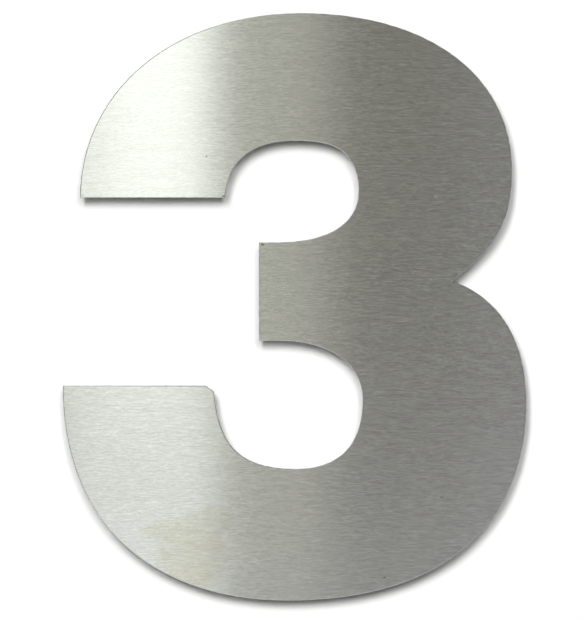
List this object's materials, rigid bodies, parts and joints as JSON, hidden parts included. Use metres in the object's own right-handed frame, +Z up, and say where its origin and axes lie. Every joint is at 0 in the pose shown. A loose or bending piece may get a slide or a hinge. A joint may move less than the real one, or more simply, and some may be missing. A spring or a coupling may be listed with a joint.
{
  "type": "house number",
  "caption": "Wide flat figure three cut from brushed sheet, held a little off its wall by concealed studs in tube sleeves.",
  "frame": {"origin": "on the wall plane, midway between the four studs and at half the figure's height", "axes": "+Z up the figure, +Y into the wall along the studs, the face looks along -Y"},
  "size_m": [0.1578, 0.039, 0.2],
  "materials": {
    "brushed_sheet": "stainless sheet, fine grain brushed across the figure",
    "stud_metal": "plain stainless, rolled thread",
    "sleeve_metal": "turned satin stainless"
  },
  "bodies": {
    "root": {"number_plate": "brushed_sheet", "stud_upper_left": "stud_metal", "stud_upper_right": "stud_metal", "stud_lower_left": "stud_metal", "stud_lower_right": "stud_metal", "sleeve_upper_left": "sleeve_metal", "sleeve_upper_right": "sleeve_metal", "sleeve_lower_left": "sleeve_metal", "sleeve_lower_right": "sleeve_metal"}
  },
  "joints": []
}
